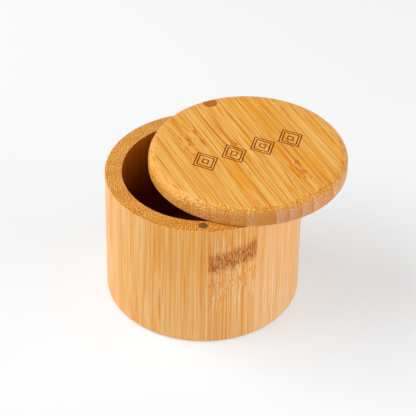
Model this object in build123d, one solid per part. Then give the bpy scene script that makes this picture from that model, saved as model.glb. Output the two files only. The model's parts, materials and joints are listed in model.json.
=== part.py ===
from build123d import *
import os
from math import hypot, sqrt

# A salt box: a turned bamboo cup with a flat lid that swivels on a screw in the rim.
# Sizes are in millimetres. The origin is the centre of the cup's underside, +Z is up,
# and the pivot stands on the +Y side of the rim. The lid is made in its closed place,
# on the cup's axis, and is then swung open about the pivot.

# Cup
cup_diameter = 88.9
cup_height = 63.8
wall_thickness = 7.6
floor_thickness = 8.0
cavity_corner_radius = 3.0
foot_edge_radius = 1.4
rim_edge_radius = 0.3

# Lid
lid_overhang = 0.35
lid_thickness = 8.2
lid_roundover_radius = 4.3
lid_lower_edge_radius = 0.4
lid_opening_angle = 29.0

# Engraving on the lid: a row of lozenges, each drawn with nested burned lines
lozenge_count = 4
lozenge_width = 12.6
lozenge_height = 15.4
lozenge_gap = 1.5
engraved_line_width = 0.5
engraved_line_spacing = 1.25
engraved_lines_per_lozenge = 2
lozenge_heart_inset = 3.35
engraving_depth = 0.35

# Pivot and catch: both stand a little inside the middle of the wall, and the catch
# is a few degrees round from the point opposite the pivot
wall_centre_offset = 0.55
catch_offset_angle = 3.4

# Pivot screw, with a shoulder that the lid turns on
shoulder_diameter = 4.0
thread_diameter = 3.0
thread_length = 6.5
thread_tip_chamfer = 0.4
head_diameter = 5.7
head_height = 1.9
head_edge_radius = 0.7
hex_socket_width = 2.0
hex_socket_depth = 1.1

# Threaded insert in the wall
insert_diameter = 4.2
insert_length = 8.0
insert_groove_depth = 0.25
insert_groove_width = 0.8
insert_lead_in = 0.3

# Washers
slip_washer_diameter = 6.4
slip_washer_thickness = 0.5
head_washer_diameter = 6.2
head_washer_thickness = 0.4

# Plug over the screw
plug_diameter = 6.4
plug_length = 2.6

# Magnets
magnet_diameter = 4.0
magnet_length = 3.0
magnet_edge_chamfer = 0.15

# Clearances, on the radius or along the axis
running_clearance = 0.08
end_play = 0.05
washer_clearance = 0.10
thread_clearance = 0.03
glue_clearance = 0.05
plug_to_head_gap = 0.35

# Worked out from the sizes above
cup_radius = cup_diameter / 2
lid_radius = cup_radius + lid_overhang
cavity_radius = cup_radius - wall_thickness
pivot_radius = cup_radius - wall_thickness / 2 - wall_centre_offset
lid_bottom = cup_height + slip_washer_thickness + end_play
lid_top = lid_bottom + lid_thickness
plug_bottom = lid_top - plug_length
head_top = plug_bottom - plug_to_head_gap
head_bottom = head_top - head_height
head_washer_bottom = head_bottom - end_play - head_washer_thickness
plug_hole_radius = plug_diameter / 2 + glue_clearance
shoulder_bore_radius = shoulder_diameter / 2 + running_clearance
washer_bore_radius = shoulder_diameter / 2 + washer_clearance
magnet_pocket_radius = magnet_diameter / 2 + glue_clearance

pivot = Pos(0, pivot_radius, 0)
catch = Rot(0, 0, catch_offset_angle) * Pos(0, -pivot_radius, 0)
pivot_axis = Axis((0, pivot_radius, 0), (0, 0, 1))


def turned(outline, roundings):
    """A solid turned about Z from (radius, height) points, with some corners rounded."""
    profile = Polygon(*outline, align=None)
    for corner, radius in roundings:
        vertex = profile.vertices().sort_by_distance((*corner, 0))[0]
        profile = fillet(vertex, radius)
    return revolve(Plane.XZ * profile, Axis.Z)


def disc(radius, bottom, top):
    """A round solid on the Z axis, between two heights."""
    return Pos(0, 0, (bottom + top) / 2) * Cylinder(radius, top - bottom)


def ring(outer_radius, inner_radius, bottom, top):
    """A washer on the Z axis, between two heights."""
    return disc(outer_radius, bottom, top) - disc(inner_radius, bottom, top)


def lozenge(inset):
    """An upright lozenge, drawn in by an inset measured square to its sides."""
    centre_to_side = lozenge_width * lozenge_height / 2 / hypot(lozenge_width, lozenge_height)
    half_width = lozenge_width / 2 * (1 - inset / centre_to_side)
    half_height = lozenge_height / 2 * (1 - inset / centre_to_side)
    return Polygon((half_width, 0), (0, half_height), (-half_width, 0), (0, -half_height), align=None)


def make_box_body():
    """The cup, with pockets in its rim for the insert and the magnet."""
    outline = [
        (0, 0),
        (cup_radius, 0),
        (cup_radius, cup_height),
        (cavity_radius, cup_height),
        (cavity_radius, floor_thickness),
        (0, floor_thickness),
    ]
    roundings = [
        ((cup_radius, 0), foot_edge_radius),
        ((cup_radius, cup_height), rim_edge_radius),
        ((cavity_radius, cup_height), rim_edge_radius),
        ((cavity_radius, floor_thickness), cavity_corner_radius),
    ]
    insert_pocket = disc(insert_diameter / 2 + glue_clearance, cup_height - insert_length, cup_height)
    magnet_pocket = disc(magnet_pocket_radius, cup_height - magnet_length, cup_height)
    return turned(outline, roundings) - pivot * insert_pocket - catch * magnet_pocket


def make_lid_blank():
    """The lid's outer form, before anything is cut into it."""
    outline = [(0, lid_bottom), (lid_radius, lid_bottom), (lid_radius, lid_top), (0, lid_top)]
    roundings = [
        ((lid_radius, lid_top), lid_roundover_radius),
        ((lid_radius, lid_bottom), lid_lower_edge_radius),
    ]
    return turned(outline, roundings)


def make_engraving():
    """The cutter for the row of lozenges, centred on the lid's top."""
    lines = Sketch()
    for line in range(engraved_lines_per_lozenge):
        inset = line * engraved_line_spacing
        lines += lozenge(inset) - lozenge(inset + engraved_line_width)
    lines += lozenge(lozenge_heart_inset) - lozenge(lozenge_heart_inset + engraved_line_width)
    row = Sketch()
    for place in GridLocations(lozenge_width + lozenge_gap, 0, lozenge_count, 1):
        row += place * lines
    return Pos(0, 0, lid_top - engraving_depth) * extrude(row, amount=2 * engraving_depth)


def make_swivel_lid():
    """The lid, bored for the screw's shoulder, its washer and the plug above it."""
    shoulder_bore = disc(shoulder_bore_radius, lid_bottom, lid_top)
    plug_hole = disc(plug_hole_radius, head_washer_bottom, lid_top)
    magnet_pocket = disc(magnet_pocket_radius, lid_bottom, lid_bottom + magnet_length)
    holes = pivot * (shoulder_bore + plug_hole) + catch * magnet_pocket
    return make_lid_blank() - holes - make_engraving()


def make_pivot_plug():
    """The plug over the screw, finished to the lid's rounded top."""
    blank = disc(plug_diameter / 2, plug_bottom, lid_top)
    return (pivot * blank) & make_lid_blank()


def make_pivot_screw():
    """The shoulder screw that the lid turns on, standing in the insert."""
    thread = disc(thread_diameter / 2, cup_height - thread_length, cup_height)
    thread = chamfer(thread.edges().group_by(Axis.Z)[0], thread_tip_chamfer)
    shoulder = disc(shoulder_diameter / 2, cup_height, head_bottom)
    head = disc(head_diameter / 2, head_bottom, head_top)
    head = fillet(head.edges().group_by(Axis.Z)[-1], head_edge_radius)
    socket = extrude(RegularPolygon(hex_socket_width / sqrt(3), 6), amount=hex_socket_depth)
    return pivot * (thread + shoulder + head - Pos(0, 0, head_top - hex_socket_depth) * socket)


def make_threaded_insert():
    """The insert in the wall, grooved round its outside to hold in the wood."""
    bottom = cup_height - insert_length
    insert = disc(insert_diameter / 2, bottom, cup_height)
    insert = chamfer(insert.edges().group_by(Axis.Z)[0], insert_lead_in)
    insert -= disc(thread_diameter / 2 + thread_clearance, bottom, cup_height)
    groove_inner_radius = insert_diameter / 2 - insert_groove_depth
    for share in (1 / 3, 2 / 3):
        middle = bottom + insert_length * share
        low = middle - insert_groove_width / 2
        high = middle + insert_groove_width / 2
        insert -= ring(insert_diameter, groove_inner_radius, low, high)
    return pivot * insert


def make_slip_washer():
    """The thin washer on the rim that carries the lid."""
    top = cup_height + slip_washer_thickness
    return pivot * ring(slip_washer_diameter / 2, washer_bore_radius, cup_height, top)


def make_head_washer():
    """The washer under the screw's head, on the step in the lid."""
    top = head_washer_bottom + head_washer_thickness
    return pivot * ring(head_washer_diameter / 2, washer_bore_radius, head_washer_bottom, top)


def make_magnet(bottom):
    """A disc magnet of the catch, with its sharp edges broken."""
    magnet = disc(magnet_diameter / 2, bottom, bottom + magnet_length)
    return catch * chamfer(magnet.edges().filter_by(GeomType.CIRCLE), magnet_edge_chamfer)


def swung_open(piece):
    """A piece of the closed lid, in the place where the lid rests open."""
    return piece.rotate(pivot_axis, lid_opening_angle)


nodes = {
    "box_body": make_box_body(),
    "rim_magnet": make_magnet(cup_height - magnet_length),
    "threaded_insert": make_threaded_insert(),
    "pivot_screw": make_pivot_screw(),
    "slip_washer": make_slip_washer(),
    "swivel_lid": swung_open(make_swivel_lid()),
    "lid_magnet": swung_open(make_magnet(lid_bottom)),
    "head_washer": swung_open(make_head_washer()),
    "pivot_plug": swung_open(make_pivot_plug()),
}

os.makedirs("parts", exist_ok=True)
for name, solid in nodes.items():
    export_step(solid, f"parts/{name}.step")
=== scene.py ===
import json
import math
from functools import partial

import bmesh
import bpy
from mathutils import Matrix, Vector


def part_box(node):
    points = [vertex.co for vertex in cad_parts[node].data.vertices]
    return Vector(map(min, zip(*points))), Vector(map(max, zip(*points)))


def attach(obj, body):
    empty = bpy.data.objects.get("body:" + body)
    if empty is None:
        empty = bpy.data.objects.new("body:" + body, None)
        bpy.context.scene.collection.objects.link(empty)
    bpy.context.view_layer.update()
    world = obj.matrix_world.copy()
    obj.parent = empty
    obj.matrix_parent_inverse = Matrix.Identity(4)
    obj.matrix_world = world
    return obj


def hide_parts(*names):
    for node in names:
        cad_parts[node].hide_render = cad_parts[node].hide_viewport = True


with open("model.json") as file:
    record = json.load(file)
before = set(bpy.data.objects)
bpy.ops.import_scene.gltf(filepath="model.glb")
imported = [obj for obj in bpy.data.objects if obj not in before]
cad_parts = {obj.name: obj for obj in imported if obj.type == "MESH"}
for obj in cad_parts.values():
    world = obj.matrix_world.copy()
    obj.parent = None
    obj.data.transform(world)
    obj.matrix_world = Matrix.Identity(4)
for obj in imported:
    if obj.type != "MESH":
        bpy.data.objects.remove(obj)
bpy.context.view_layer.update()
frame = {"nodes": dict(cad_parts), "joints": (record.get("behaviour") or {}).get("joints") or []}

# A bamboo salt box whose flat lid is swung open on its pivot. Blender's lengths are
# metres, so sizes are written in millimetres and multiplied by MM. The materials
# work in millimetres throughout.
MM = 0.001


# ---------------------------------------------------------------- sizes

def middle(node):
    """The centre of a node, seen from above."""
    low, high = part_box(node)
    return Vector(((low.x + high.x) / 2, (low.y + high.y) / 2, 0))


def radius_of(node):
    """The radius of a round node, taken where its facets reach least."""
    low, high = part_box(node)
    return min(high.x - low.x, high.y - low.y) / 2


def cup_radius():
    """The cup's radius about the frame's own axis, no further than its solid reaches."""
    low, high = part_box("box_body")
    return min(-low.x, high.x, -low.y, high.y)


def bottom(node):
    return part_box(node)[0].z


def top(node):
    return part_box(node)[1].z


pivot = Vector(frame["joints"][0]["pos_m"][:2] + [0])
# The lid is swung open by this much. Shut, it is centred on the box.
lid_opening = math.radians(29.0)
lid_centre = pivot - Matrix.Rotation(lid_opening, 3, "Z") @ pivot

# Sizes that the frame's boxes don't give, as the box is built
wall = 7.6 * MM
floor_thickness = 8.0 * MM
cavity_corner = 3.0 * MM
foot_edge = 1.8 * MM
rim_edge = 0.35 * MM
inner_edge = 0.12 * MM
lid_roundover = 4.3 * MM
lid_lower_edge = 0.4 * MM
glue_gap = 0.05 * MM
magnet_edge = 0.15 * MM
shoulder_bore = 2.08 * MM

# How far a cutter reaches past the wood it cuts, the facets round a small piece or hole,
# and how near two points may lie before they are made one
cutter_reach = 1.0 * MM
small_facets = 96
sliver = 0.001 * MM

# The engraved row of lozenges, each drawn with nested lines round a small heart
lozenge_count = 4
lozenge_width = 12.6 * MM
lozenge_height = 15.4 * MM
lozenge_gap = 1.5 * MM
engraved_line = 0.5 * MM
engraved_spacing = 1.25 * MM
heart_inset = 3.35 * MM
engraving_depth = 0.35 * MM


# ---------------------------------------------------------------- colours and nodes

def linear(hex_colour):
    """An sRGB hex colour as linear red, green, blue and alpha."""
    channels = [int(hex_colour[i:i + 2], 16) / 255 for i in (1, 3, 5)]
    return (*[c / 12.92 if c <= 0.04045 else ((c + 0.055) / 1.055) ** 2.4 for c in channels], 1.0)


def add_node(tree, kind, inputs=(), **settings):
    """Adds a node with its settings, and gives its inputs their values or links.

    Inputs come by name or number, or in order over those that the settings leave in
    use. A node given as an input stands for its first output in use.
    """
    node = tree.nodes.new(kind)
    for name, value in settings.items():
        setattr(node, name, value)
    if isinstance(inputs, dict):
        pairs = [(node.inputs[name], value) for name, value in inputs.items()]
    else:
        pairs = zip([socket for socket in node.inputs if socket.enabled], inputs)
    for socket, value in pairs:
        if isinstance(value, bpy.types.Node):
            value = next(output for output in value.outputs if output.enabled)
        if isinstance(value, bpy.types.NodeSocket):
            tree.links.new(value, socket)
        else:
            socket.default_value = value
    return node


# A Map Range node with this eases in and out
SMOOTH = {"interpolation_type": "SMOOTHSTEP"}


def new_material(name):
    """An empty material, with what adds a node to it."""
    material = bpy.data.materials.new(name)
    material.use_nodes = True
    material.node_tree.nodes.clear()
    return material, partial(add_node, material.node_tree)


# ---------------------------------------------------------------- bamboo

BAMBOO_INPUTS = (
    ("Place", "NodeSocketVector", None),
    ("End Facing", "NodeSocketFloat", 0.0),
    ("End From", "NodeSocketFloat", 0.34),
    ("Strip Width", "NodeSocketFloat", 21.0),
    ("Strip Thickness", "NodeSocketFloat", 6.5),
    ("Stagger", "NodeSocketFloat", 0.0),
    ("Seed", "NodeSocketFloat", 0.0),
    ("Turned Over", "NodeSocketFloat", 0.0),
    ("Shade", "NodeSocketFloat", 0.0),
    ("Bark Tone", "NodeSocketFloat", 0.0),
    ("Broad Streaks", "NodeSocketFloat", 1.0),
    ("Fine Streaks", "NodeSocketFloat", 1.0),
    ("Node Place", "NodeSocketFloat", 0.0),
    ("Node Spread", "NodeSocketFloat", 0.0),
    ("Node Strength", "NodeSocketFloat", 0.0),
    ("Band Strength", "NodeSocketFloat", 0.0),
    ("Fleck Strength", "NodeSocketFloat", 0.0),
    ("Fleck Net", "NodeSocketFloat", 0.0),
    ("Fleck Size", "NodeSocketFloat", 1.0),
    ("Pale", "NodeSocketColor", None),
    ("Deep", "NodeSocketColor", None),
    ("Fibre", "NodeSocketColor", None),
    ("Node Brown", "NodeSocketColor", None),
    ("End Tone", "NodeSocketFloat", 0.0),
    ("End Dots", "NodeSocketFloat", 1.0),
    ("Dot Spacing", "NodeSocketFloat", 0.9),
    ("End Pale", "NodeSocketColor", None),
    ("End Deep", "NodeSocketColor", None),
    ("End Fibre", "NodeSocketColor", None),
)


# Real sizes in that pattern, in millimetres. A glue line is full at the first size and
# gone at the second.
GLUE_LINE = (0.03, 0.16)
BUNDLE_SPACING = 0.9
NEEDLE_LENGTH = 50.0
FLECK_LENGTH = 3.6
# How far apart a node's pores lie across a strip, through it and along it
PORE_SPACING = (3.3, 30.0, 2.6)
# How much a node rises across its strip, and how far its ragged edge strays either way
NODE_SLOPE = 5.0
NODE_RAGGED = 3.0
# How far off a node its brown band and its stronger grain are full, and where each ends
NODE_BAND = (2.6, 7.0)
NODE_GRAIN = (4.0, 22.0)
# Flecks come in below a node between the first two heights, and go between the others
FLECKS_IN = (-38.0, -11.0)
FLECKS_OUT = (-6.0, -1.0)


def bamboo_strips():
    """The pattern that every bamboo piece shares, in millimetres.

    Place is measured across a strip's face, through its thickness, and along its
    grain. Fibre bundles are needles that run along the grain, so a cut across them
    shows dots and a cut along them shows streaks. They crowd towards the bark side
    of each strip. A node is the ring where the cane had a joint: a brown band with
    pores, and short crooked flecks below it.
    """
    tree = bpy.data.node_groups.new("bamboo strips", "ShaderNodeTree")
    for name, kind, value in BAMBOO_INPUTS:
        socket = tree.interface.new_socket(name, in_out="INPUT", socket_type=kind)
        if value is not None:
            socket.default_value = value
    tree.interface.new_socket("Colour", in_out="OUTPUT", socket_type="NodeSocketColor")
    for name in ("Height", "Roughness"):
        tree.interface.new_socket(name, in_out="OUTPUT", socket_type="NodeSocketFloat")
    add = partial(add_node, tree)
    given = add("NodeGroupInput").outputs
    place = given["Place"]
    axes = add("ShaderNodeSeparateXYZ", (place,)).outputs

    # Which strip this is, and what chance gives it
    through = add("ShaderNodeMath", (axes["Y"], given["Strip Thickness"]), operation="DIVIDE")
    layer = add("ShaderNodeMath", (through,), operation="FLOOR")
    widths = add("ShaderNodeMath", (axes["X"], given["Strip Width"]), operation="DIVIDE")
    across = add("ShaderNodeMath", (layer, given["Stagger"], widths), operation="MULTIPLY_ADD")
    column = add("ShaderNodeMath", (across,), operation="FLOOR")
    strip = add("ShaderNodeCombineXYZ", (column, layer, given["Seed"]))
    chances = add("ShaderNodeTexWhiteNoise", (strip,), noise_dimensions="3D").outputs["Color"]
    chance = add("ShaderNodeSeparateColor", (chances,)).outputs

    # Glue lines
    to_side = add("ShaderNodeMath", (across, 0.5), operation="PINGPONG")
    side_mm = add("ShaderNodeMath", (to_side, given["Strip Width"]), operation="MULTIPLY")
    to_face = add("ShaderNodeMath", (through, 0.5), operation="PINGPONG")
    face_mm = add("ShaderNodeMath", (to_face, given["Strip Thickness"]), operation="MULTIPLY")
    to_glue = add("ShaderNodeMath", (side_mm, face_mm), operation="MINIMUM")
    glue = add("ShaderNodeMapRange", (to_glue, *GLUE_LINE, 1.0, 0.0), **SMOOTH)

    # From 0 on the inner side of the cane's wall to 1 on its bark side. Some strips
    # are glued in turned over.
    turned_share = add("ShaderNodeMath", (chance[0], given["Turned Over"]), operation="MULTIPLY")
    turned_over = add("ShaderNodeMath", (turned_share,), operation="ROUND")
    depth = add("ShaderNodeMath", (through,), operation="FRACT")
    depth_gap = add("ShaderNodeMath", (depth, turned_over), operation="SUBTRACT")
    bark = add("ShaderNodeMath", (depth_gap,), operation="ABSOLUTE")

    # How far this point lies above its strip's node, whose edges are ragged along the grain
    node_middle = add(
        "ShaderNodeMath", (chance[1], given["Node Spread"], given["Node Place"]), operation="MULTIPLY_ADD"
    )
    across_strip = add("ShaderNodeMath", (across,), operation="FRACT")
    tilt = add("ShaderNodeMath", (across_strip, NODE_SLOPE, -NODE_SLOPE / 2), operation="MULTIPLY_ADD")
    node_line = add("ShaderNodeMath", (node_middle, tilt), operation="ADD")
    combed = add("ShaderNodeVectorMath", (place, (0.75, 0.75, 0.07)), operation="MULTIPLY")
    ragged = add("ShaderNodeTexNoise", (combed, 1.0, 3.0))
    ragged_mm = add("ShaderNodeMath", (ragged, 2 * NODE_RAGGED, -NODE_RAGGED), operation="MULTIPLY_ADD")
    ragged_line = add("ShaderNodeMath", (node_line, ragged_mm), operation="ADD")
    above = add("ShaderNodeMath", (axes["Z"], ragged_line), operation="SUBTRACT")
    off_node = add("ShaderNodeMath", (above,), operation="ABSOLUTE")
    band = add("ShaderNodeMapRange", (off_node, *NODE_BAND, 1.0, 0.0), **SMOOTH)
    fading_down = add("ShaderNodeMapRange", (above, *FLECKS_IN, 0.0, 1.0), **SMOOTH)
    fading_up = add("ShaderNodeMapRange", (above, *FLECKS_OUT, 1.0, 0.0), **SMOOTH)
    near_below = add("ShaderNodeMath", (fading_down, fading_up), operation="MULTIPLY")
    flecked = add("ShaderNodeMath", (near_below, given["Fleck Strength"]), operation="MULTIPLY")
    close = add("ShaderNodeMapRange", (off_node, *NODE_GRAIN, 1.0, 0.0), **SMOOTH)
    near_node = add("ShaderNodeMath", (close, given["Node Strength"]), operation="MULTIPLY", use_clamp=True)
    marked = add("ShaderNodeMath", (near_node, flecked), operation="MAXIMUM")

    # The grain's own place: each strip comes from elsewhere in the cane, grows a
    # little wavy, and swirls round its node
    from_cane = add("ShaderNodeVectorMath", (chances, (60.0, 60.0, 60.0), place), operation="MULTIPLY_ADD")
    calm = add("ShaderNodeVectorMath", (place, (0.06, 0.06, 0.014)), operation="MULTIPLY")
    calm_wave = add("ShaderNodeTexNoise", (calm, 1.0, 1.0)).outputs["Color"]
    waved = add("ShaderNodeVectorMath", (calm_wave, (2.4, 2.4, 0.0), from_cane), operation="MULTIPLY_ADD")
    busy = add("ShaderNodeVectorMath", (place, (0.28, 0.28, 0.13)), operation="MULTIPLY")
    busy_wave = add("ShaderNodeTexNoise", (busy, 1.0, 2.0)).outputs["Color"]
    swirl = add("ShaderNodeVectorMath", (busy_wave, (0.5, 0.5, 0.5)), operation="SUBTRACT")
    swirl_size = add("ShaderNodeMath", (near_below, given["Node Strength"]), operation="MULTIPLY")
    swirled = add("ShaderNodeVectorMath", (swirl, swirl_size), operation="SCALE")
    grain = add("ShaderNodeVectorMath", (swirled, (1.4, 1.4, 0.0), waved), operation="MULTIPLY_ADD")

    # Fibre bundles: long needles set like the spots of a five. Below a node they break up
    # into short dashes, or with a Fleck Net of 1.2 into a net of threads round pale flecks.
    # Real bundles are half as far apart, which would be too fine to show.
    eighth_turn = {"Vector": grain, "Angle": math.radians(45)}
    quincunx = add("ShaderNodeVectorRotate", eighth_turn, rotation_type="Z_AXIS")
    needle_size = (BUNDLE_SPACING, BUNDLE_SPACING, NEEDLE_LENGTH)
    needle_place = add("ShaderNodeVectorMath", (quincunx, needle_size), operation="DIVIDE")
    needles = add("ShaderNodeTexVoronoi", {"Vector": needle_place, "Scale": 1.0, "Randomness": 0.45}).outputs
    fleck_size = (BUNDLE_SPACING, BUNDLE_SPACING, FLECK_LENGTH)
    fleck_place = add("ShaderNodeVectorMath", (grain, fleck_size), operation="DIVIDE")
    fleck_scale = add("ShaderNodeMath", (1.0, given["Fleck Size"]), operation="DIVIDE")
    fleck_cells = {"Vector": fleck_place, "Scale": fleck_scale, "Randomness": 0.85}
    flecks = add("ShaderNodeTexVoronoi", fleck_cells).outputs
    to_middle = add("ShaderNodeMath", (flecks["Distance"], given["Fleck Size"]), operation="MULTIPLY")
    from_net = add("ShaderNodeMath", (to_middle, given["Fleck Net"]), operation="SUBTRACT")
    to_fleck = add("ShaderNodeMath", (from_net,), operation="ABSOLUTE")
    reach = add("ShaderNodeMix", (flecked, needles["Distance"], to_fleck), data_type="FLOAT")
    cell_colour = add("ShaderNodeMix", (flecked, needles["Color"], flecks["Color"]), data_type="RGBA")
    cell = add("ShaderNodeSeparateColor", (cell_colour,)).outputs
    bundle_size = add("ShaderNodeMath", (bark, 0.10, 0.26), operation="MULTIPLY_ADD")
    bundle_core = add("ShaderNodeMath", (bundle_size, 0.4), operation="MULTIPLY")
    bundle_shape = add("ShaderNodeMapRange", (reach, bundle_size, bundle_core, 0.0, 1.0), **SMOOTH)
    bundle_depth = add("ShaderNodeMath", (cell[0], 0.75, 0.25), operation="MULTIPLY_ADD")
    bundle = add("ShaderNodeMath", (bundle_shape, bundle_depth), operation="MULTIPLY")

    # Streaks of tone along the grain: broad ones, fine ones, and a few dark threads
    broad_place = add("ShaderNodeVectorMath", (grain, (0.30, 0.30, 0.006)), operation="MULTIPLY")
    broad = add("ShaderNodeTexNoise", (broad_place, 1.0, 2.0))
    broad_swing = add("ShaderNodeMath", (broad, 0.5), operation="SUBTRACT")
    broad_tone = add("ShaderNodeMath", (broad_swing, given["Broad Streaks"]), operation="MULTIPLY")
    fine_place = add("ShaderNodeVectorMath", (grain, (2.4, 2.4, 0.014)), operation="MULTIPLY")
    fine = add("ShaderNodeTexNoise", (fine_place, 1.0, 1.0))
    fine_swing = add("ShaderNodeMapRange", (fine, 0.32, 0.68, -0.5, 0.5), **SMOOTH)
    stronger = add("ShaderNodeMath", (marked, 2.4, 1.0), operation="MULTIPLY_ADD")
    fine_gain = add("ShaderNodeMath", (stronger, given["Fine Streaks"]), operation="MULTIPLY")
    fine_tone = add("ShaderNodeMath", (fine_swing, fine_gain), operation="MULTIPLY")
    fleck_chance = add("ShaderNodeMath", (cell[1], 0.5), operation="SUBTRACT")
    fleck_tone = add("ShaderNodeMath", (fleck_chance, flecked), operation="MULTIPLY")
    short_streaks = add("ShaderNodeMath", (fleck_tone, 0.55, fine_tone), operation="MULTIPLY_ADD")
    streaks = add("ShaderNodeMath", (broad_tone, short_streaks), operation="ADD")
    thread_place = add("ShaderNodeVectorMath", (grain, (2.0, 2.0, 0.012)), operation="MULTIPLY")
    thread = add("ShaderNodeTexNoise", (thread_place, 1.0, 1.0))
    more_threads = add("ShaderNodeMath", (near_node, 0.06, thread), operation="MULTIPLY_ADD")
    threads = add("ShaderNodeMapRange", (more_threads, 0.60, 0.72, 0.0, 1.0), **SMOOTH)
    bark_side = add("ShaderNodeMath", (bark, 3.0), operation="POWER")
    bark_swing = add("ShaderNodeMath", (bark_side, given["Bark Tone"]), operation="MULTIPLY")
    bark_tone = add("ShaderNodeMath", (bark_swing, given["Shade"]), operation="ADD")
    chance_tone = add("ShaderNodeMath", (chance[2], 0.2, -0.1), operation="MULTIPLY_ADD")
    strip_tone = add("ShaderNodeMath", (bark_tone, chance_tone), operation="ADD")
    tone = add("ShaderNodeMath", (streaks, strip_tone), operation="ADD", use_clamp=True)

    # Cut along the grain
    ground = add("ShaderNodeMix", (tone, given["Pale"], given["Deep"]), data_type="RGBA")
    bundle_strength = add("ShaderNodeMath", (marked, 0.9, 0.95), operation="MULTIPLY_ADD")
    bundle_share = add("ShaderNodeMath", (bundle, bundle_strength), operation="MULTIPLY", use_clamp=True)
    thread_share = add("ShaderNodeMath", (threads, 0.9), operation="MULTIPLY")
    fibre_share = add("ShaderNodeMath", (bundle_share, thread_share), operation="MAXIMUM")
    streaked = add("ShaderNodeMix", (fibre_share, ground, given["Fibre"]), data_type="RGBA")
    band_share = add("ShaderNodeMath", (band, given["Band Strength"]), operation="MULTIPLY")
    stroke_place = add("ShaderNodeVectorMath", (place, (2.0, 2.0, 0.4)), operation="MULTIPLY")
    strokes = add("ShaderNodeTexNoise", (stroke_place, 1.0, 3.0, 0.7))
    brown_streaks = add("ShaderNodeMapRange", (strokes, 0.40, 0.60, 0.22, 1.0))
    brown_share = add("ShaderNodeMath", (band_share, brown_streaks), operation="MULTIPLY")
    browned = add("ShaderNodeMix", (brown_share, streaked, given["Node Brown"]), data_type="RGBA")
    pore_place = add("ShaderNodeVectorMath", (place, PORE_SPACING), operation="DIVIDE")
    to_pore = add("ShaderNodeTexVoronoi", {"Vector": pore_place, "Scale": 1.0}).outputs["Distance"]
    pore = add("ShaderNodeMapRange", (to_pore, 0.20, 0.09, 0.0, 1.0), **SMOOTH)
    in_band = add("ShaderNodeMapRange", (band_share, 0.5, 0.85, 0.0, 1.0))
    pore_share = add("ShaderNodeMath", (pore, in_band), operation="MULTIPLY")
    along = add("ShaderNodeMix", (pore_share, browned, linear("#4E1E08")), data_type="RGBA")

    # Cut across the grain. Bundles crowd towards the bark, and show most where the cut
    # is slanted. The cut's edge is ragged, as some streaks reach further round.
    end_chance = add("ShaderNodeMath", (chance[2], 0.3, -0.15), operation="MULTIPLY_ADD")
    end_base = add("ShaderNodeMath", (given["End Tone"], end_chance), operation="ADD")
    end_crowding = add("ShaderNodeMath", (bark, bark), operation="MULTIPLY")
    end_crowded = add("ShaderNodeMath", (end_crowding, 0.4, end_base), operation="MULTIPLY_ADD")
    end_tone = add("ShaderNodeMath", (tone, 0.3, end_crowded), operation="MULTIPLY_ADD", use_clamp=True)
    square_ground = add("ShaderNodeMix", (end_tone, given["End Pale"], given["End Deep"]), data_type="RGBA")
    oblique = add("ShaderNodeMapRange", (given["End Facing"], 0.5, 1.0, 1.0, 0.0))
    oblique_share = add("ShaderNodeMath", (oblique, 0.9), operation="MULTIPLY")
    end_ground = add("ShaderNodeMix", (oblique_share, square_ground, ground), data_type="RGBA")
    dot_scale = add("ShaderNodeMath", (1.0, given["Dot Spacing"]), operation="DIVIDE")
    dot_place = {"Vector": from_cane, "Scale": dot_scale, "Randomness": 0.6}
    to_dot = add("ShaderNodeTexVoronoi", dot_place, voronoi_dimensions="2D").outputs["Distance"]
    dots = add("ShaderNodeMapRange", (to_dot, 0.55, 0.16, 0.0, 1.0), **SMOOTH)
    slanted = add("ShaderNodeMapRange", (given["End Facing"], 0.8, 0.98, 0.8, 0.5))
    dot_size = add("ShaderNodeMath", (dots, slanted), operation="MULTIPLY")
    dot_share = add("ShaderNodeMath", (dot_size, given["End Dots"]), operation="MULTIPLY", use_clamp=True)
    ends = add("ShaderNodeMix", (dot_share, end_ground, given["End Fibre"]), data_type="RGBA")
    reaching = add("ShaderNodeMath", (tone, 0.2, given["End Facing"]), operation="MULTIPLY_ADD")
    past_edge = add("ShaderNodeMath", (reaching, given["End From"]), operation="SUBTRACT")
    end_grain = add("ShaderNodeMapRange", (past_edge, 0.0, 0.12, 0.0, 1.0), **SMOOTH)

    wood = add("ShaderNodeMix", (end_grain, along, ends), data_type="RGBA")
    glue_share = add("ShaderNodeMath", (glue, 0.22), operation="MULTIPLY")
    colour = add("ShaderNodeMix", (glue_share, wood, given["Fibre"]), data_type="RGBA")

    # Sanded: the bundles stand a few hundredths of a millimetre off the rest
    end_rise = add("ShaderNodeMath", (end_grain, 0.01), operation="MULTIPLY")
    raised = add("ShaderNodeMath", (dot_share, end_rise), operation="MULTIPLY")
    sunk = add("ShaderNodeMath", (bundle, -0.018, raised), operation="MULTIPLY_ADD")
    grooved = add("ShaderNodeMath", (glue, -0.012, sunk), operation="MULTIPLY_ADD")
    height = add("ShaderNodeMath", (pore_share, -0.04, grooved), operation="MULTIPLY_ADD")
    rough = add("ShaderNodeMath", (bundle, 0.08, 0.42), operation="MULTIPLY_ADD")
    end_rough = add("ShaderNodeMath", (end_grain, -0.04, rough), operation="MULTIPLY_ADD")
    add("NodeGroupOutput", {"Colour": colour, "Height": height, "Roughness": end_rough})
    return tree


def place_and_facing(add, origin, turn, grain_axis):
    """Millimetres about an origin, and how squarely a face cuts the grain."""
    spot = add("ShaderNodeTexCoord").outputs
    frame_of_grain = {
        "Vector": spot["Object"], "Location": origin, "Rotation": (0, 0, turn), "Scale": (MM, MM, MM),
    }
    place = add("ShaderNodeMapping", frame_of_grain, vector_type="TEXTURE")
    facing = add("ShaderNodeVectorMath", (spot["Normal"], grain_axis), operation="DOT_PRODUCT")
    return place, add("ShaderNodeMath", (facing,), operation="ABSOLUTE")


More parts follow.
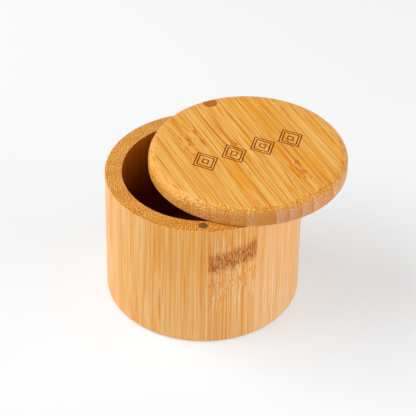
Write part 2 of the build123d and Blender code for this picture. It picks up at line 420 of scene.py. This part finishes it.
def oiled(add, colour, roughness, height, bump_strength):
    """Wood sanded fine and wiped with oil: a satin surface, a little paler seen at a slant."""
    bump = add("ShaderNodeBump", {"Strength": bump_strength, "Distance": MM, "Height": height})
    settings = {
        "Base Color": colour, "Roughness": roughness, "IOR": 1.45, "Normal": bump,
        "Specular IOR Level": 0.22, "Sheen Weight": 0.03, "Sheen Roughness": 0.3,
    }
    add("ShaderNodeOutputMaterial", (add("ShaderNodeBsdfPrincipled", settings),))


def block_pattern(add, strips):
    """The block of flat strips that the box is cut from, laid like bricks, grain upright."""
    block_turn = math.radians(3.4)
    strip_width = 21.07
    strip_thickness = 6.8
    # The front strip's left edge, and how far forward the block reaches
    front_corner = Vector((2.48, -44.5, 0.0))
    front_node_height = 47.5
    # Other strips have their nodes by chance in so long a stretch that few show
    node_stretch = 900.0
    place, facing = place_and_facing(add, (0, 0, 0), block_turn, (0, 0, 1))
    shifted = add("ShaderNodeVectorMath", (place, front_corner), operation="SUBTRACT")
    # The front strip shows a node, about three quarters up the wall
    axes = add("ShaderNodeSeparateXYZ", (shifted,)).outputs
    right_of_seam = add("ShaderNodeMath", (axes["X"], 0.0), operation="GREATER_THAN")
    left_of_next = add("ShaderNodeMath", (axes["X"], strip_width), operation="LESS_THAN")
    in_front = add("ShaderNodeMath", (axes["Y"], strip_thickness), operation="LESS_THAN")
    in_width = add("ShaderNodeMath", (right_of_seam, left_of_next), operation="MULTIPLY")
    front_strip = add("ShaderNodeMath", (in_width, in_front), operation="MULTIPLY")
    node_places = (front_strip, -node_stretch / 2, front_node_height)
    node_place = add("ShaderNodeMix", node_places, data_type="FLOAT")
    node_spread = add("ShaderNodeMix", (front_strip, node_stretch, 0.0), data_type="FLOAT")
    node_strength = add("ShaderNodeMix", (front_strip, 0.55, 1.0), data_type="FLOAT")
    # The front strip comes from a browner cane, and those beyond its right seam from a
    # paler, pinker one
    pinker = add("ShaderNodeMath", (axes["X"], strip_width), operation="GREATER_THAN")
    pale_left = add("ShaderNodeMix", (front_strip, linear("#F5C988"), linear("#F0C68E")), data_type="RGBA")
    deep_left = add("ShaderNodeMix", (front_strip, linear("#F0A342"), linear("#EAA24E")), data_type="RGBA")
    fibre = add("ShaderNodeMix", (pinker, linear("#E08824"), linear("#E69A44")), data_type="RGBA")
    pale = add("ShaderNodeMix", (pinker, pale_left, linear("#F1CAA0")), data_type="RGBA")
    deep = add("ShaderNodeMix", (pinker, deep_left, linear("#EBA750")), data_type="RGBA")
    # Painted shade: from the strip left of the front one on, the wall's tone is deepened
    # towards the rim, where the lid shades it, and paled a little near the foot, where the table's light
    # reaches it
    from_left = add("ShaderNodeMath", (axes["X"], -strip_width), operation="GREATER_THAN")
    painted_shade_upwards = add("ShaderNodeMapRange", (axes["Z"], 4.0, 62.0, -0.08, 0.30))
    painted_shade = add("ShaderNodeMath", (painted_shade_upwards, from_left), operation="MULTIPLY")
    front_deeper = add("ShaderNodeMath", (front_strip, 0.30, painted_shade), operation="MULTIPLY_ADD")
    shade = add("ShaderNodeMath", (front_deeper, 0.40), operation="ADD")
    # The layers at the front come from deeper cane than those at the back, with stronger
    # bundles
    end_tone = add("ShaderNodeMath", (axes["Y"], -0.0032, 0.30), operation="MULTIPLY_ADD")
    end_dots = add("ShaderNodeMath", (axes["Y"], -0.009, 2.1), operation="MULTIPLY_ADD")
    settings = {
        "Place": shifted, "End Facing": facing, "End From": 0.8,
        "Strip Width": strip_width, "Strip Thickness": strip_thickness, "Stagger": 0.37, "Seed": 5.0,
        "Turned Over": 1.0, "Shade": shade, "Bark Tone": 0.1, "Broad Streaks": 0.45, "Fine Streaks": 0.9,
        "Node Place": node_place, "Node Spread": node_spread,
        "Node Strength": node_strength, "Band Strength": node_strength, "Fleck Strength": node_strength,
        "Pale": pale, "Deep": deep, "Fibre": fibre, "Node Brown": linear("#A65208"),
        "End Tone": end_tone, "End Dots": end_dots, "Dot Spacing": 0.84,
        "End Pale": linear("#F8BD59"), "End Deep": linear("#D99B3B"), "End Fibre": linear("#B44C00"),
    }
    return place, add("ShaderNodeGroup", settings, node_tree=strips).outputs


def box_bamboo(strips):
    """Bamboo sanded and oiled: satin, with upright streaks on the wall and dots on the rim."""
    material, add = new_material("sanded and oiled bamboo, upright grain")
    pattern = block_pattern(add, strips)[1]
    oiled(add, pattern["Colour"], pattern["Roughness"], pattern["Height"], 0.6)
    return material


def cavity_bamboo(strips):
    """Bamboo as the cutter left it, unpolished and dull, with painted shade that darkens it the deeper it
    lies.
    """
    material, add = new_material("bored bamboo, unpolished, with painted shade")
    place, pattern = block_pattern(add, strips)
    height = add("ShaderNodeSeparateXYZ", (place,)).outputs["Z"]
    # Painted shade: the bore is darkened from a little below the rim down to the darkest depth, and made
    # browner near its floor, in place of the shade that the lid and the walls cast inside.
    rim = top("box_body") / MM
    still_pale = 6.0
    darkest = 35.0
    depths = (height, rim - still_pale, rim - darkest, 0.0, 1.0)
    painted_shade = add("ShaderNodeMapRange", depths, **SMOOTH)
    painted_wall_shade = add("ShaderNodeMix", (painted_shade, linear("#FFC846"), linear("#9C501E")), data_type="RGBA")
    near_floor = add("ShaderNodeMapRange", (height, 13.0, 8.5, 0.0, 1.0))
    painted_shade_colour = add("ShaderNodeMix", (near_floor, painted_wall_shade, linear("#B8803C")), data_type="RGBA")
    colour = add("ShaderNodeMix", (1.0, pattern["Colour"], painted_shade_colour), data_type="RGBA", blend_type="MULTIPLY")
    settings = {"Base Color": colour, "Roughness": 0.9, "Specular IOR Level": 0.1}
    add("ShaderNodeOutputMaterial", (add("ShaderNodeBsdfPrincipled", settings),))
    return material


# Each strip of the lid from left to right, with the pivot at the top: its shade from
# pale to deep, how far towards the pivot its node lies, how strongly that shows, and
# the shade of its cut end
LID_STRIPS = (
    (0.28, -3, 0.15, 0.40),
    (0.00, 0, 0.0, 0.40),
    (0.36, 0, 0.0, 0.70),
    (0.40, 24, 0.8, 0.85),
    (0.26, 28, 0.75, 0.65),
    (0.47, 0, 0.0, 0.65),
    (0.16, 12, 0.7, 0.45),
    (0.28, 0, 0.0, 0.50),
    (0.18, 0, 0.0, 0.30),
    (0.47, -14, 1.0, 0.08),
    (0.64, 0, 0.0, 0.35),
    (0.42, 34, 0.5, 0.18),
    (0.14, 0, 0.0, 0.20),
    (0.37, 5, 0.4, 0.20),
    (0.30, 0, 0.0, 0.30),
)
# The strips' table holds 0 to 1, which stands for this stretch with its middle at the lid's
LID_NODE_REACH = 100.0


def lid_bamboo(strips):
    """Bamboo strips set on edge, sanded and oiled: satin stripes that run out from the pivot."""
    material, add = new_material("sanded and oiled bamboo, edge grain")
    grain_axis = Matrix.Rotation(lid_opening, 3, "Z") @ Vector((0, 1, 0))
    place, facing = place_and_facing(add, lid_centre, lid_opening, grain_axis)
    strip_thickness = 6.15
    first_seam = -44.95
    # The strips go deeper than the lid, so it shows no seam between layers
    board_depth = 30.0
    axes = add("ShaderNodeSeparateXYZ", (place,)).outputs
    from_first = add("ShaderNodeMath", (axes["X"], first_seam), operation="SUBTRACT")
    upright = add("ShaderNodeMath", (axes["Z"], board_depth / 2), operation="SUBTRACT")
    strip_place = add("ShaderNodeCombineXYZ", (upright, from_first, axes["Y"]))
    share = add("ShaderNodeMath", (from_first, strip_thickness * len(LID_STRIPS)), operation="DIVIDE")
    table = add("ShaderNodeValToRGB", (share,))
    stops = table.color_ramp.elements
    table.color_ramp.interpolation = "CONSTANT"
    stops.remove(stops[1])
    for index, (shade, node_place, node_strength, end_shade) in enumerate(LID_STRIPS):
        stop = stops.new(index / len(LID_STRIPS)) if index else stops[0]
        stop.color = (shade, node_place / LID_NODE_REACH + 0.5, node_strength, end_shade)
    row = add("ShaderNodeSeparateColor", (table,)).outputs
    node_sizes = (row[1], LID_NODE_REACH, -LID_NODE_REACH / 2)
    node_place = add("ShaderNodeMath", node_sizes, operation="MULTIPLY_ADD")
    band_strength = add("ShaderNodeMath", (row[2], 0.06), operation="MULTIPLY")
    settings = {
        "Place": strip_place, "End Facing": facing,
        "Strip Width": board_depth, "Strip Thickness": strip_thickness, "Seed": 11.0,
        "Shade": row[0], "Bark Tone": 0.45, "Broad Streaks": 0.9, "Fine Streaks": 1.15,
        "Node Place": node_place, "Node Strength": row[2], "Band Strength": band_strength,
        "Fleck Strength": row[2], "Fleck Net": 1.2, "Fleck Size": 1.6,
        "Pale": linear("#F1BA62"), "Deep": linear("#E69209"), "Fibre": linear("#CC6800"),
        "Node Brown": linear("#B25E10"),
        "End Tone": table.outputs["Alpha"], "End Dots": 0.8, "Dot Spacing": 0.9,
        "End Pale": linear("#E4BC9E"), "End Deep": linear("#CE8840"), "End Fibre": linear("#B86414"),
    }
    pattern = add("ShaderNodeGroup", settings, node_tree=strips).outputs
    oiled(add, pattern["Colour"], pattern["Roughness"], pattern["Height"], 0.6)
    return material


def burned_bamboo():
    """The engraver's scorch: dry, reddish brown, uneven along each line."""
    material, add = new_material("scorched bamboo")
    spot = add("ShaderNodeTexCoord").outputs["Object"]
    patches_per_mm = 0.9
    patches = add("ShaderNodeTexNoise", (spot, patches_per_mm / MM, 2.0))
    colour = add("ShaderNodeMix", (patches, linear("#8E2400"), linear("#A83C02")), data_type="RGBA")
    settings = {"Base Color": colour, "Roughness": 0.8, "Specular IOR Level": 0.2}
    add("ShaderNodeOutputMaterial", (add("ShaderNodeBsdfPrincipled", settings),))
    return material


def plug_wood():
    """A darker wood dowel sanded across its grain: matt, with pores and a thin line of glue round it."""
    material, add = new_material("sanded dark wood dowel, end grain")
    spot = add("ShaderNodeTexCoord").outputs["Object"]
    from_pivot = {"Vector": spot, "Location": pivot, "Scale": (MM, MM, MM)}
    place = add("ShaderNodeMapping", from_pivot, vector_type="TEXTURE")
    flat = add("ShaderNodeVectorMath", (place, (1, 1, 0)), operation="MULTIPLY")
    from_middle = add("ShaderNodeVectorMath", (flat,), operation="LENGTH")
    grain_place = add("ShaderNodeVectorMath", (flat, (0.5, 2.4, 0)), operation="MULTIPLY")
    rings = add("ShaderNodeTexNoise", (grain_place, 1.0, 3.0))
    colour = add("ShaderNodeMix", (rings, linear("#CC7A20"), linear("#AC5C0C")), data_type="RGBA")
    pores = add("ShaderNodeTexVoronoi", {"Vector": flat, "Scale": 2.6}).outputs["Distance"]
    pore_share = add("ShaderNodeMapRange", (pores, 0.35, 0.1, 0.0, 0.45))
    pored = add("ShaderNodeMix", (pore_share, colour, linear("#74400F")), data_type="RGBA")
    glue = add("ShaderNodeMapRange", (from_middle, 2.7, 3.2, 0.0, 0.8))
    edged = add("ShaderNodeMix", (glue, pored, linear("#7C4312")), data_type="RGBA")
    oiled(add, edged, 0.6, rings, 0.02)
    return material


def small_metal(name, light, dark, roughness, clouds_per_mm):
    """A small metal piece whose finish is a little cloudy."""
    material, add = new_material(name)
    spot = add("ShaderNodeTexCoord").outputs["Object"]
    clouds = add("ShaderNodeTexNoise", (spot, clouds_per_mm / MM, 3.0))
    colour = add("ShaderNodeMix", (clouds, linear(light), linear(dark)), data_type="RGBA")
    dulled = add("ShaderNodeMath", (clouds, 0.2, roughness), operation="MULTIPLY_ADD")
    bump = add("ShaderNodeBump", {"Strength": 0.2, "Distance": 0.02 * MM, "Height": clouds})
    settings = {"Base Color": colour, "Metallic": 1.0, "Roughness": dulled, "Normal": bump}
    add("ShaderNodeOutputMaterial", (add("ShaderNodeBsdfPrincipled", settings),))
    return material


def nylon():
    """A washer cut from natural nylon sheet: milky, slightly waxy."""
    material, add = new_material("cut nylon sheet")
    spot = add("ShaderNodeTexCoord").outputs["Object"]
    clouds_per_mm = 0.7
    clouds = add("ShaderNodeTexNoise", (spot, clouds_per_mm / MM, 2.0))
    colour = add("ShaderNodeMix", (clouds, linear("#E9E5DA"), linear("#D9D3C4")), data_type="RGBA")
    settings = {"Base Color": colour, "Roughness": 0.45, "IOR": 1.53}
    add("ShaderNodeOutputMaterial", (add("ShaderNodeBsdfPrincipled", settings),))
    return material


# ---------------------------------------------------------------- shapes

def rounded_outline(corners, arc_steps=10, hold=0.15 * MM):
    """Outline points from (radius, height, rounding) corners, with an arc at each rounding.

    A point set a little before and after each arc keeps the faces beside it flat.
    """
    points = []
    for index, (radius, height, rounding) in enumerate(corners):
        corner = Vector((radius, height))
        if not rounding:
            points.append(corner)
            continue
        before = (Vector(corners[index - 1][:2]) - corner).normalized()
        after = (Vector(corners[index + 1][:2]) - corner).normalized()
        half_angle = before.angle(after) / 2
        reach = rounding / math.tan(half_angle)
        centre = corner + (before + after).normalized() * rounding / math.sin(half_angle)
        first = corner + before * reach - centre
        last = corner + after * reach - centre
        sweep = first.angle(last)
        points.append(centre + first + before * hold)
        for step in range(arc_steps + 1):
            angle = sweep * step / arc_steps
            between = first * math.sin(sweep - angle) + last * math.sin(angle)
            points.append(centre + between / math.sin(sweep))
        points.append(centre + last + after * hold)
    return points


def turned(name, outline, centre=Vector((0, 0, 0)), segments=256, material=None):
    """A closed solid turned about an upright axis, with a flat face over each open end."""
    shape = bmesh.new()
    rings = []
    for radius, height in outline:
        ring = []
        for step in range(segments):
            angle = 2 * math.pi * step / segments
            spot = Vector((radius * math.cos(angle), radius * math.sin(angle), height))
            ring.append(shape.verts.new(centre + spot))
        rings.append(ring)
    for low, high in zip(rings, rings[1:]):
        for step in range(segments):
            following = (step + 1) % segments
            shape.faces.new((low[step], low[following], high[following], high[step]))
    shape.faces.new(rings[0])
    shape.faces.new(rings[-1])
    bmesh.ops.recalc_face_normals(shape, faces=shape.faces)
    return finished(name, shape, material)


def finished(name, shape, material=None):
    """A bmesh made into an object in the scene."""
    mesh = bpy.data.meshes.new(name)
    shape.to_mesh(mesh)
    shape.free()
    if material:
        mesh.materials.append(material)
    piece = bpy.data.objects.new(name, mesh)
    bpy.context.scene.collection.objects.link(piece)
    return piece


def cut(piece, cutters, operation="DIFFERENCE"):
    """Cuts a piece with others, which go away, and makes the result its mesh."""
    for cutter in cutters:
        knife = piece.modifiers.new(cutter.name, "BOOLEAN")
        knife.object = cutter
        knife.operation = operation
        knife.solver = "EXACT"
        knife.material_mode = "TRANSFER"
    made_plain(piece)
    for cutter in cutters:
        bpy.data.objects.remove(cutter)
    # The cuts leave a few slivers of faces, which go
    shape = bmesh.new()
    shape.from_mesh(piece.data)
    bmesh.ops.dissolve_degenerate(shape, dist=sliver, edges=shape.edges)
    shape.to_mesh(piece.data)
    shape.free()


def made_plain(piece):
    """Turns a piece's live modifiers into its own plain mesh."""
    bpy.context.view_layer.update()
    evaluated = piece.evaluated_get(bpy.context.evaluated_depsgraph_get())
    mesh = bpy.data.meshes.new_from_object(evaluated)
    piece.modifiers.clear()
    piece.data = mesh


def shaded(piece, sharp_angle=math.radians(35)):
    """Smooth shading that stays crisp at sharp edges."""
    piece.data.polygons.foreach_set("use_smooth", [True] * len(piece.data.polygons))
    piece.data.set_sharp_from_angle(angle=sharp_angle)
    return piece


LOZENGE_INPUTS = {
    "Count": lozenge_count,
    "Pitch": lozenge_width + lozenge_gap,
    "Width": lozenge_width,
    "Height": lozenge_height,
    "Line Width": engraved_line,
    "Line Spacing": engraved_spacing,
    "Heart Inset": heart_inset,
    "Depth": 2 * engraving_depth,
}


def lozenge_row(scorch):
    """A Geometry Nodes tree that makes the engraver's cut: a row of lozenges in nested lines."""
    tree = bpy.data.node_groups.new("lozenge row", "GeometryNodeTree")
    for name in LOZENGE_INPUTS:
        kind = "NodeSocketInt" if name == "Count" else "NodeSocketFloat"
        tree.interface.new_socket(name, in_out="INPUT", socket_type=kind)
    tree.interface.new_socket("Geometry", in_out="OUTPUT", socket_type="NodeSocketGeometry")
    add = partial(add_node, tree)
    given = add("NodeGroupInput").outputs

    # A line drawn in from the edge by an inset is the lozenge scaled by 1 - inset / centre to side
    corner = add("ShaderNodeCombineXYZ", (given["Width"], given["Height"]))
    diagonal = add("ShaderNodeVectorMath", (corner,), operation="LENGTH")
    area = add("ShaderNodeMath", (given["Width"], given["Height"]), operation="MULTIPLY")
    twice_reach = add("ShaderNodeMath", (area, diagonal), operation="DIVIDE")
    centre_to_side = add("ShaderNodeMath", (twice_reach, 0.5), operation="MULTIPLY")
    half_height = add("ShaderNodeMath", (given["Height"], 0.5), operation="MULTIPLY")
    kite_sizes = {"Width": given["Width"], "Bottom Height": half_height, "Top Height": half_height}
    kite = add("GeometryNodeCurvePrimitiveQuadrilateral", kite_sizes, mode="KITE")
    lines = add("GeometryNodeJoinGeometry")
    for inset in (0.0, given["Line Spacing"], given["Heart Inset"]):
        inner = add("ShaderNodeMath", (inset, given["Line Width"]), operation="ADD")
        pair = add("GeometryNodeJoinGeometry")
        for edge in (inset, inner):
            part = add("ShaderNodeMath", (edge, centre_to_side), operation="DIVIDE")
            scale = add("ShaderNodeMath", (1.0, part), operation="SUBTRACT")
            scales = add("ShaderNodeCombineXYZ", (scale, scale, 1.0))
            drawn_in = add("GeometryNodeTransform", {"Geometry": kite, "Scale": scales})
            tree.links.new(drawn_in.outputs[0], pair.inputs[0])
        line = add("GeometryNodeFillCurve", (pair,))
        tree.links.new(line.outputs[0], lines.inputs[0])

    raising = {"Mesh": lines, "Offset Scale": given["Depth"], "Individual": False}
    raised = add("GeometryNodeExtrudeMesh", raising, mode="FACES")
    underside = add("GeometryNodeFlipFaces", (lines,))
    shell = add("GeometryNodeJoinGeometry")
    tree.links.new(raised.outputs["Mesh"], shell.inputs[0])
    tree.links.new(underside.outputs[0], shell.inputs[0])
    closed = add("GeometryNodeMergeByDistance", {"Geometry": shell, "Distance": sliver})

    gaps = add("ShaderNodeMath", (given["Count"], 1.0), operation="SUBTRACT")
    length = add("ShaderNodeMath", (gaps, given["Pitch"]), operation="MULTIPLY")
    left = add("ShaderNodeMath", (length, -0.5), operation="MULTIPLY")
    start = add("ShaderNodeCombineXYZ", (left,))
    step = add("ShaderNodeCombineXYZ", (given["Pitch"],))
    line_sizes = {"Count": given["Count"], "Start Location": start, "Offset": step}
    spots = add("GeometryNodeMeshLine", line_sizes, mode="OFFSET")
    row = add("GeometryNodeInstanceOnPoints", {"Points": spots, "Instance": closed})
    real = add("GeometryNodeRealizeInstances", {"Geometry": row})
    painted = add("GeometryNodeSetMaterial", {"Geometry": real, "Material": scorch})
    add("NodeGroupOutput", {"Geometry": painted})
    return tree


def engraving_cutter(scorch):
    """The lozenge row in its place on the lid, as a plain mesh to cut with."""
    cutter = finished("engraving", bmesh.new())
    row = cutter.modifiers.new("lozenge row", "NODES")
    row.node_group = lozenge_row(scorch)
    for socket in row.node_group.interface.items_tree:
        if socket.in_out == "INPUT":
            row[socket.identifier] = LOZENGE_INPUTS[socket.name]
    made_plain(cutter)
    cutter.data.transform(
        Matrix.Translation(lid_centre + Vector((0, 0, top("swivel_lid") - engraving_depth)))
        @ Matrix.Rotation(lid_opening, 4, "Z")
    )
    return cutter


def round_bar(name, radius, low, high, centre, material):
    """A round bar with square ends, to cut a hole with or to shape further."""
    return turned(name, [(radius, low), (radius, high)], centre, small_facets, material)


def make_box(bamboo, bored):
    """The cup, turned in one piece, with a pocket for each piece in its rim."""
    radius = cup_radius()
    height = top("box_body")
    inner = radius - wall
    near_axis = 1 * MM
    outline = rounded_outline([
        (near_axis, 0, 0),
        (radius, 0, foot_edge),
        (radius, height, rim_edge),
        (inner, height, inner_edge),
        (inner, floor_thickness, cavity_corner),
        (near_axis, floor_thickness, 0),
    ])
    box = turned("bamboo_box", outline, material=bamboo)
    above = height + cutter_reach
    cut(box, [
        round_bar(
            "magnet pocket", radius_of("rim_magnet") + glue_gap, bottom("rim_magnet"), above,
            middle("rim_magnet"), bamboo,
        ),
        round_bar(
            "insert pocket", radius_of("threaded_insert") + glue_gap, bottom("threaded_insert"), above,
            pivot, bamboo,
        ),
    ])
    box.data.materials.append(bored)
    for face in box.data.polygons:
        if face.center.xy.length < inner and face.center.z > floor_thickness / 2:
            face.material_index = len(box.data.materials) - 1
    return shaded(box)


def lid_outline():
    radius = radius_of("swivel_lid")
    near_axis = 1 * MM
    return rounded_outline([
        (near_axis, bottom("swivel_lid"), 0),
        (radius, bottom("swivel_lid"), lid_lower_edge),
        (radius, top("swivel_lid"), lid_roundover),
        (near_axis, top("swivel_lid"), 0),
    ], arc_steps=20)


def make_lid(bamboo, scorch):
    """The lid, bored at the pivot, pocketed for its magnet and engraved on top."""
    lid = turned("bamboo_lid", lid_outline(), lid_centre, material=bamboo)
    below = bottom("swivel_lid") - cutter_reach
    above = top("swivel_lid") + cutter_reach
    plug_hole = radius_of("pivot_plug") + glue_gap
    seat = bottom("head_washer")
    cut(lid, [
        round_bar("plug hole", plug_hole, seat, above, pivot, bamboo),
        round_bar("shoulder bore", shoulder_bore, below, seat + cutter_reach, pivot, bamboo),
        round_bar(
            "magnet pocket", radius_of("lid_magnet") + glue_gap, below, top("lid_magnet"),
            middle("lid_magnet"), bamboo,
        ),
        engraving_cutter(scorch),
    ])
    return shaded(lid)


def make_plug(wood):
    """The plug over the screw, finished to the lid's rounded top."""
    above = top("swivel_lid") + cutter_reach
    plug = round_bar("lid_plug", radius_of("pivot_plug"), bottom("pivot_plug"), above, pivot, wood)
    cut(plug, [turned("lid form", lid_outline(), lid_centre, material=wood)], "INTERSECT")
    return shaded(plug)


def make_magnet(name, node, plating):
    """A disc magnet with its sharp edges broken."""
    radius = radius_of(node)
    near_axis = 0.2 * MM
    outline = rounded_outline([
        (near_axis, bottom(node), 0),
        (radius, bottom(node), magnet_edge),
        (radius, top(node), magnet_edge),
        (near_axis, top(node), 0),
    ], arc_steps=4, hold=0.03 * MM)
    return shaded(turned(name, outline, middle(node), small_facets, plating))


# ---------------------------------------------------------------- the object

strips = bamboo_strips()
scorch = burned_bamboo()
# Nickel plate gone dull shows the wood round it as an even brown, which is a painted
# reflection set in its colour. Zinc plate is a cloudy grey, and turned brass a clearer yellow.
plating = small_metal("dulled nickel plate, painted with the wood's reflection", "#946A41", "#7B5533", 0.45, 1.5)
steel = small_metal("zinc plated steel", "#B9BABC", "#8E9094", 0.30, 0.9)
brass = small_metal("turned brass", "#C9A250", "#A9823A", 0.28, 0.9)

box = make_box(box_bamboo(strips), cavity_bamboo(strips))
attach(box, "box")
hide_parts("box_body")

lid = make_lid(lid_bamboo(strips), scorch)
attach(lid, "lid")
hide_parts("swivel_lid")

plug = make_plug(plug_wood())
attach(plug, "lid")
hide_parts("pivot_plug")

for name, node, body in (
    ("rim_catch_magnet", "rim_magnet", "box"),
    ("lid_catch_magnet", "lid_magnet", "lid"),
):
    magnet = make_magnet(name, node, plating)
    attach(magnet, body)
    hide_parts(node)

for node, material in (
    ("pivot_screw", steel), ("head_washer", steel), ("threaded_insert", brass), ("slip_washer", nylon()),
):
    for slot in frame["nodes"][node].material_slots:
        slot.material = material


# ---------------------------------------------------------------- floor, light, camera

def looked_at(add):
    """1 where the camera sees a surface, whether straight, mirrored or through glass."""
    rays = add("ShaderNodeLightPath").outputs
    seen = add("ShaderNodeMath", (rays["Is Camera Ray"], rays["Is Glossy Ray"]), operation="MAXIMUM")
    return add("ShaderNodeMath", (seen, rays["Is Transmission Ray"]), operation="MAXIMUM")


def make_floor():
    """A white table top, wide enough that its edge is never near the object.

    To the camera nearly half of its white is its own, so the shadow on it stays light,
    and close to the object it is painted a little cooler, against the warm light that
    the wood throws on it. It lights the object as plain pale paint would.
    """
    own_white = 0.47
    table_radius = 6.0
    near_object = 0.04
    off_object = 0.20
    material, add = new_material("matt painted table top")
    seen = looked_at(add)
    own_share = add("ShaderNodeMath", (seen, own_white), operation="MULTIPLY")
    spot = add("ShaderNodeTexCoord").outputs["Object"]
    clouds = add("ShaderNodeTexNoise", (spot, 3.0, 1.0))
    white = add("ShaderNodeMix", (clouds, linear("#FBFBFB"), linear("#F8F8F8")), data_type="RGBA")
    # Painted: near the object the white is cooled, cancelling the warm light reflected on it from the wood
    from_object = add("ShaderNodeVectorMath", (spot,), operation="LENGTH").outputs["Value"]
    distances = (from_object, near_object, off_object, 1.0, 0.0)
    close_by = add("ShaderNodeMapRange", distances, **SMOOTH)
    cooler = add("ShaderNodeMix", (close_by, white, linear("#F4FAFF")), data_type="RGBA")
    colour = add("ShaderNodeMix", (seen, linear("#E6E5E4"), cooler), data_type="RGBA")
    paper = add("ShaderNodeBsdfDiffuse", {"Color": colour})
    own = add("ShaderNodeEmission", {"Color": linear("#FCFCFC"), "Strength": 1.0})
    surface = add("ShaderNodeMixShader", (own_share, paper, own))
    add("ShaderNodeOutputMaterial", (surface,))
    shape = bmesh.new()
    bmesh.ops.create_circle(shape, cap_ends=True, segments=128, radius=table_radius)
    finished("table_top", shape, material)


def softbox(name, direction, height_angle, width, height, power):
    """A large soft lamp that faces the object from a direction round it."""
    distance = 1.6
    data = bpy.data.lights.new(name, "AREA")
    data.shape = "RECTANGLE"
    data.size = width
    data.size_y = height
    data.energy = power
    lamp = bpy.data.objects.new(name, data)
    bpy.context.scene.collection.objects.link(lamp)
    level = distance * math.cos(height_angle)
    rise = distance * math.sin(height_angle)
    lamp.location = (level * math.cos(direction), level * math.sin(direction), rise)
    lamp.rotation_euler = lamp.location.to_track_quat("Z", "Y").to_euler()


def make_light():
    """A pale room with a high softbox on the left, a low one on the right, and a weak one in front."""
    world = bpy.data.worlds.new("pale room")
    bpy.context.scene.world = world
    world.use_nodes = True
    world.node_tree.nodes.clear()
    add = partial(add_node, world.node_tree)
    room = add("ShaderNodeBackground", {"Color": (1.0, 1.0, 1.0, 1.0), "Strength": 0.16})
    backdrop = add("ShaderNodeBackground", {"Color": linear("#FAFAFA"), "Strength": 1.0})
    surface = add("ShaderNodeMixShader", (looked_at(add), room, backdrop))
    add("ShaderNodeOutputWorld", {"Surface": surface})
    softbox("left softbox", math.radians(181), math.radians(43), 1.6, 1.4, 25.1)
    softbox("right softbox", math.radians(-18), math.radians(17), 1.9, 1.0, 17.7)
    softbox("front softbox", math.radians(-92), math.radians(55), 1.4, 1.4, 5.4)


def make_camera():
    """The camera stands in front, a little to the right, looking down at the open box."""
    distance = 921.13 * MM
    height_angle = math.radians(40.048)
    side_angle = math.radians(3.414)
    aim_side = math.radians(3.246)
    aim_down = math.radians(37.978)
    roll = math.radians(0.846)
    camera_data = bpy.data.cameras.new("camera")
    camera_data.sensor_width = 36.0
    camera_data.lens = 170.26
    camera = bpy.data.objects.new("camera", camera_data)
    bpy.context.scene.collection.objects.link(camera)
    ground_distance = distance * math.cos(height_angle)
    camera.location = (
        ground_distance * math.sin(side_angle),
        -ground_distance * math.cos(side_angle),
        distance * math.sin(height_angle),
    )
    camera.rotation_euler = (
        Matrix.Rotation(aim_side, 3, "Z")
        @ Matrix.Rotation(math.pi / 2 - aim_down, 3, "X")
        @ Matrix.Rotation(roll, 3, "Z")
    ).to_euler()
    bpy.context.scene.camera = camera


make_floor()
make_light()
make_camera()
bpy.context.scene.view_settings.view_transform = "Standard"

bpy.context.view_layer.update()
